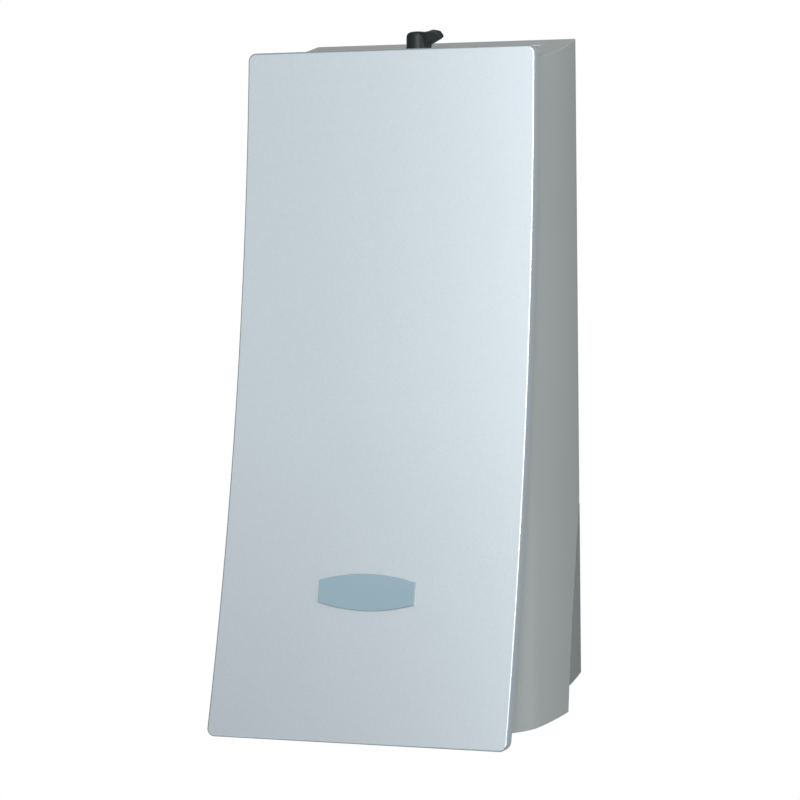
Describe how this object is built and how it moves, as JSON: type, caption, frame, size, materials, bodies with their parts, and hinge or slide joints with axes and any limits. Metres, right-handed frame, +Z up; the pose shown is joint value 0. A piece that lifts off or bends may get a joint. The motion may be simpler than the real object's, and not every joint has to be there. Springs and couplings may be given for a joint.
{
  "type": "wall mounted soap dispenser",
  "caption": "Slim wall mounted liquid soap dispenser: a swept front panel hinged at the top presses a pump at its foot; a keyed lid opens for refilling.",
  "frame": {"origin": "centre of the wall plate's rear face, on the wall plane, at the front panel's mid-height", "axes": "+X to the viewer's right when facing the front, +Y into the wall (the front faces -Y), +Z up"},
  "size_m": [0.0966, 0.0886, 0.2171],
  "materials": {
    "satin_silver_panel": "fine satin silver metallic paint over moulded plastic",
    "grey_housing": "fine moulded grain, warm grey",
    "grey_back": "fine moulded grain, dark grey",
    "badge_blue_grey": "smooth blue-grey",
    "clear_tank": "translucent natural plastic",
    "white_pump": "smooth white moulding",
    "dark_moulding": "dark grey moulding",
    "black_key": "semi-gloss black",
    "black_rubber": "soft black",
    "steel": "bright stainless",
    "foam_tape": "white foam tape"
  },
  "bodies": {
    "housing": {"wall_plate": "grey_back", "tape_strips": "foam_tape", "cover": "grey_housing", "cover_screws": "steel", "reservoir": "clear_tank", "neck_gasket": "black_rubber", "pump_body": "white_pump", "pump_cap": "white_pump", "inlet_seat": "black_rubber", "spout": "white_pump", "outlet_valve": "black_rubber", "return_spring": "steel", "bumpers": "black_rubber"},
    "panel": {"front_panel": "satin_silver_panel", "badge": "badge_blue_grey", "hinge_brackets": "dark_moulding", "hinge_pin": "steel", "press_boss": "dark_moulding", "boss_pad": "black_rubber"},
    "plunger_set": {"plunger": "white_pump", "piston": "dark_moulding", "piston_ring": "black_rubber"},
    "valve_ball": {"inlet_ball": "steel"},
    "lid_set": {"lid": "grey_housing", "lid_gasket": "black_rubber", "lid_pin": "steel", "lock_bush": "dark_moulding"},
    "key_set": {"key": "black_key", "lock_cam": "steel", "cam_screw": "steel"}
  },
  "joints": [
    {"name": "panel_press", "type": "hinge", "parent": "housing", "child": "panel", "pos_m": [0, -0.0405, 0.09], "axis": [1, 0, 0], "range_deg": [0, 2.3], "stiffness_Nm_per_rad": 30, "springref_deg": -1.15},
    {"name": "plunger_slide", "type": "slide", "parent": "housing", "child": "plunger_set", "axis": [0, 1, 0], "range_m": [0, 0.0069], "deforming": ["return_spring"]},
    {"name": "valve_ball_lift", "type": "slide", "parent": "housing", "child": "valve_ball", "axis": [0, 0, 1], "range_m": [0, 0.0021]},
    {"name": "lid_open", "type": "hinge", "parent": "housing", "child": "lid_set", "pos_m": [0, -0.0125, 0.1052], "axis": [-1, 0, 0], "range_deg": [0, 95]},
    {"name": "key_turn", "type": "hinge", "parent": "lid_set", "child": "key_set", "pos_m": [0, -0.026, 0.1], "axis": [0, 0, 1], "range_deg": [-90, 0]}
  ],
  "couplings": [
    {"joint": "plunger_slide", "follows": "panel_press", "m_per_rad": 0.1694}
  ]
}
